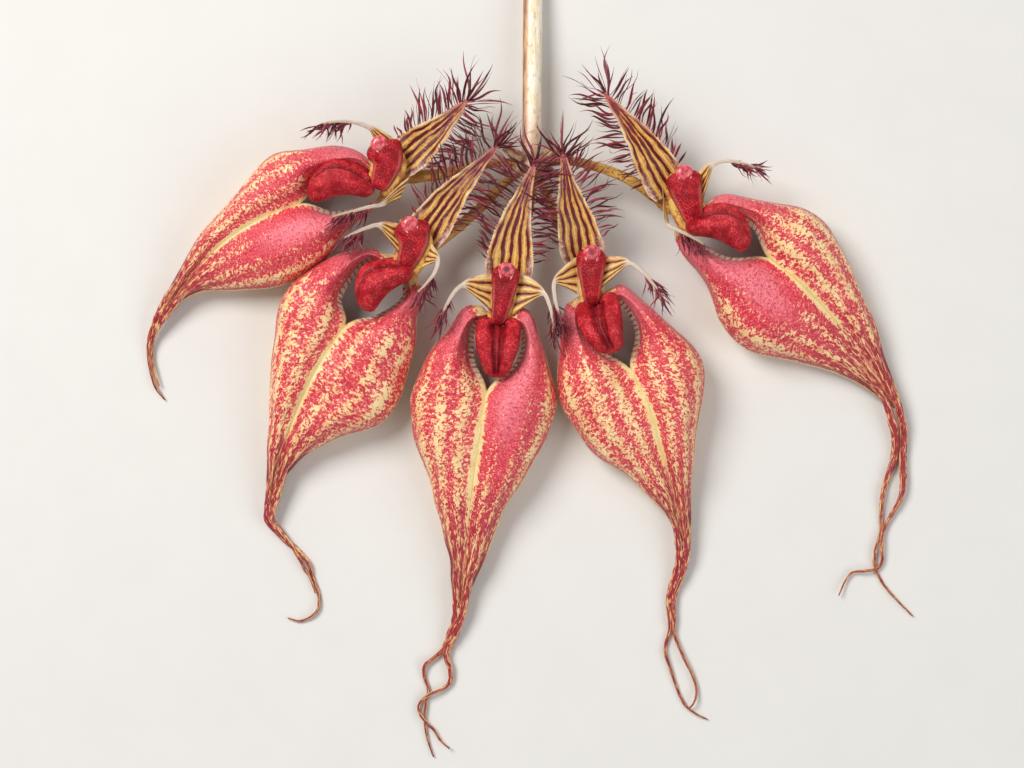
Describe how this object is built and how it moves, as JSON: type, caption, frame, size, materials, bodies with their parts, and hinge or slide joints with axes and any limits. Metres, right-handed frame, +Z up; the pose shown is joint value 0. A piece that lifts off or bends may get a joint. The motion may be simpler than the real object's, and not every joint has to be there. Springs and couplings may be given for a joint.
{
  "type": "bulbophyllum orchid umbel",
  "caption": "Cut umbel of fringed orchid flowers with long joined sepals that end in tails, laid face up on its bare stem.",
  "frame": {"origin": "on the table under the middle of the umbel's bounding box", "axes": "+Z up from the table, +Y along the stem towards its cut end, +X to the right seen from above"},
  "size_m": [0.1933, 0.2153, 0.0224],
  "materials": {
    "stem": "satin living stem, cream with ochre and brown flecks",
    "stalk": "satin, ochre speckled with maroon",
    "bract": "dry papery scale, straw to purple",
    "dorsal_sepal": "satin petal tissue, ochre with maroon stripes and a maroon fringe",
    "lateral_sepals": "satin petal tissue, crimson mottling over pale yellow",
    "petal": "satin petal tissue, ochre with maroon stripes and a pale filament",
    "lip": "fleshy, deep red, finely pimpled",
    "column": "fleshy, red, finely pimpled",
    "anther_cap": "waxy, pinkish red"
  },
  "bodies": {
    "root": {"stem": "stem", "a_stalk": "stalk", "a_bract": "bract", "a_dorsal_sepal": "dorsal_sepal", "a_lateral_sepals": "lateral_sepals", "a_petal_left": "petal", "a_petal_right": "petal", "a_column": "column", "a_anther_cap": "anther_cap", "a_lip": "lip", "b_stalk": "stalk", "b_bract": "bract", "b_dorsal_sepal": "dorsal_sepal", "b_lateral_sepals": "lateral_sepals", "b_petal_left": "petal", "b_petal_right": "petal", "b_column": "column", "b_anther_cap": "anther_cap", "b_lip": "lip", "c_stalk": "stalk", "c_bract": "bract", "c_dorsal_sepal": "dorsal_sepal", "c_lateral_sepals": "lateral_sepals", "c_petal_left": "petal", "c_petal_right": "petal", "c_column": "column", "c_anther_cap": "anther_cap", "c_lip": "lip", "d_stalk": "stalk", "d_bract": "bract", "d_dorsal_sepal": "dorsal_sepal", "d_lateral_sepals": "lateral_sepals", "d_petal_left": "petal", "d_petal_right": "petal", "d_column": "column", "d_anther_cap": "anther_cap", "d_lip": "lip", "e_stalk": "stalk", "e_bract": "bract", "e_dorsal_sepal": "dorsal_sepal", "e_lateral_sepals": "lateral_sepals", "e_petal_left": "petal", "e_petal_right": "petal", "e_column": "column", "e_anther_cap": "anther_cap", "e_lip": "lip"}
  },
  "joints": []
}
